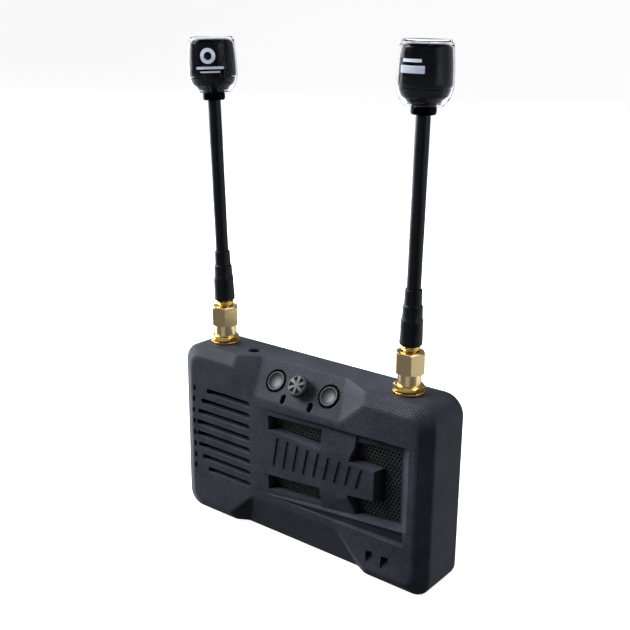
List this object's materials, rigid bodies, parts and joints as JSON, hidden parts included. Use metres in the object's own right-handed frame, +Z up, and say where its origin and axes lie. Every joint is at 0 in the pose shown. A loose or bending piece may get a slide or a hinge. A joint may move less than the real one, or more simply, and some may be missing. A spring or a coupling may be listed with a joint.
{
  "type": "wireless video receiver",
  "caption": "Slim boxed video receiver with a sloped control strip, vented and grilled front, push keys, a navigation stick and screw-on whip aerials with clear-capped ends.",
  "frame": {"origin": "middle of the case's flat underside, midway between the front panel and the back", "axes": "+X to the right along the width as seen from the front, +Z up, the front panel faces -Y"},
  "size_m": [0.098, 0.0185, 0.1566],
  "materials": {
    "case_plastic": "fine-grained charcoal moulding",
    "cover_plastic": "fine-grained charcoal moulding",
    "key_plastic": "satin",
    "inner_plastic": "satin black",
    "grille_metal": "dark satin, perforated",
    "black_steel": "black oxide",
    "circuit_board": "solder mask",
    "aluminium": "milled",
    "tinned_steel": "tin plate",
    "clear_plastic": "clear, polished",
    "white_plastic": "satin",
    "gold_plate": "gold plated, turned",
    "pale_gold_plate": "gold plated, satin turned",
    "black_tubing": "satin heat-shrink",
    "cap_black": "gloss"
  },
  "bodies": {
    "case": {"front_shell": "case_plastic", "rear_cover": "cover_plastic", "grille_mesh": "grille_metal", "case_screw_left_bottom": "black_steel", "case_screw_left_top": "black_steel", "case_screw_right_bottom": "black_steel", "case_screw_right_top": "black_steel", "fan_frame": "inner_plastic", "fan_screw_1": "black_steel", "fan_screw_2": "black_steel", "main_board": "circuit_board", "heat_sink": "aluminium", "receiver_can_left": "tinned_steel", "receiver_can_right": "tinned_steel", "video_socket": "inner_plastic", "power_socket": "tinned_steel", "pigtail_left": "inner_plastic", "pigtail_right": "inner_plastic", "key_board": "circuit_board", "button_switch_left": "inner_plastic", "button_switch_right": "inner_plastic", "light_guide_left": "clear_plastic", "light_guide_right": "clear_plastic", "status_led_left": "white_plastic", "status_led_right": "white_plastic", "nav_switch_body": "inner_plastic", "jack_body_left": "gold_plate", "jack_body_right": "gold_plate", "jack_insulator_left": "white_plastic", "jack_insulator_right": "white_plastic", "lock_washer_left": "gold_plate", "lock_washer_right": "gold_plate", "jack_nut_left": "gold_plate", "jack_nut_right": "gold_plate"},
    "button_left": {"button_cap_left": "key_plastic"},
    "button_right": {"button_cap_right": "key_plastic"},
    "nav_press_plate": {"nav_plunger": "tinned_steel"},
    "nav_rocker_plate": {"nav_rocker": "tinned_steel"},
    "nav_stick": {"nav_stick": "inner_plastic", "nav_knob": "key_plastic"},
    "fan_rotor": {"fan_rotor": "inner_plastic"},
    "plug_left": {"plug_body_left": "gold_plate", "plug_pin_left": "gold_plate"},
    "nut_left": {"coupling_nut_left": "pale_gold_plate"},
    "aerial_left": {"sleeve_left": "black_tubing", "stem_left": "black_tubing", "cap_base_left": "cap_black", "cap_liner_left": "cap_black", "radiator_left": "gold_plate", "clear_cap_left": "clear_plastic"},
    "plug_right": {"plug_body_right": "gold_plate", "plug_pin_right": "gold_plate"},
    "nut_right": {"coupling_nut_right": "pale_gold_plate"},
    "aerial_right": {"sleeve_right": "black_tubing", "stem_right": "black_tubing", "cap_base_right": "cap_black", "cap_liner_right": "cap_black", "radiator_right": "gold_plate", "clear_cap_right": "clear_plastic"}
  },
  "joints": [
    {"name": "button_left_press", "type": "slide", "parent": "case", "child": "button_left", "axis": [0, 0.8206, -0.5715], "range_m": [0, 0.0004], "stiffness_N_per_m": 2500},
    {"name": "button_right_press", "type": "slide", "parent": "case", "child": "button_right", "axis": [0, 0.8206, -0.5715], "range_m": [0, 0.0004], "stiffness_N_per_m": 2500},
    {"name": "nav_press", "type": "slide", "parent": "case", "child": "nav_press_plate", "axis": [0, 0.8206, -0.5715], "range_m": [0, 0.00025], "stiffness_N_per_m": 5000},
    {"name": "nav_tilt_up_down", "type": "hinge", "parent": "nav_press_plate", "child": "nav_rocker_plate", "pos_m": [0, -0.00209, 0.05133], "axis": [1, 0, 0], "range_deg": [-6, 6], "stiffness_Nm_per_rad": 0.04},
    {"name": "nav_tilt_left_right", "type": "hinge", "parent": "nav_rocker_plate", "child": "nav_stick", "pos_m": [0, -0.00209, 0.05133], "axis": [0, 0.5715, 0.8206], "range_deg": [-6, 6], "stiffness_Nm_per_rad": 0.04},
    {"name": "fan_spin", "type": "hinge", "parent": "case", "child": "fan_rotor", "pos_m": [-0.03, -0.0031, 0.0305], "axis": [0, -1, 0], "continuous": true},
    {"name": "plug_left_lift", "type": "slide", "parent": "case", "child": "plug_left", "axis": [0, 0, 1], "range_m": [0, 0.00423]},
    {"name": "nut_left_turn", "type": "hinge", "parent": "plug_left", "child": "nut_left", "pos_m": [-0.03795, 0.0014, 0.067], "axis": [0, 0, 1], "range_deg": [0, 2160]},
    {"name": "aerial_left_swivel", "type": "hinge", "parent": "plug_left", "child": "aerial_left", "pos_m": [-0.03795, 0.0014, 0.0728], "axis": [0, 0, 1], "continuous": true},
    {"name": "plug_right_lift", "type": "slide", "parent": "case", "child": "plug_right", "axis": [0, 0, 1], "range_m": [0, 0.00423]},
    {"name": "nut_right_turn", "type": "hinge", "parent": "plug_right", "child": "nut_right", "pos_m": [0.0343, 0.0014, 0.067], "axis": [0, 0, 1], "range_deg": [0, 2160]},
    {"name": "aerial_right_swivel", "type": "hinge", "parent": "plug_right", "child": "aerial_right", "pos_m": [0.0343, 0.0014, 0.0728], "axis": [0, 0, 1], "continuous": true}
  ],
  "couplings": [
    {"joint": "nut_left_turn", "follows": "plug_left_lift", "rad_per_m": 8904.7},
    {"joint": "nut_right_turn", "follows": "plug_right_lift", "rad_per_m": 8904.7}
  ]
}
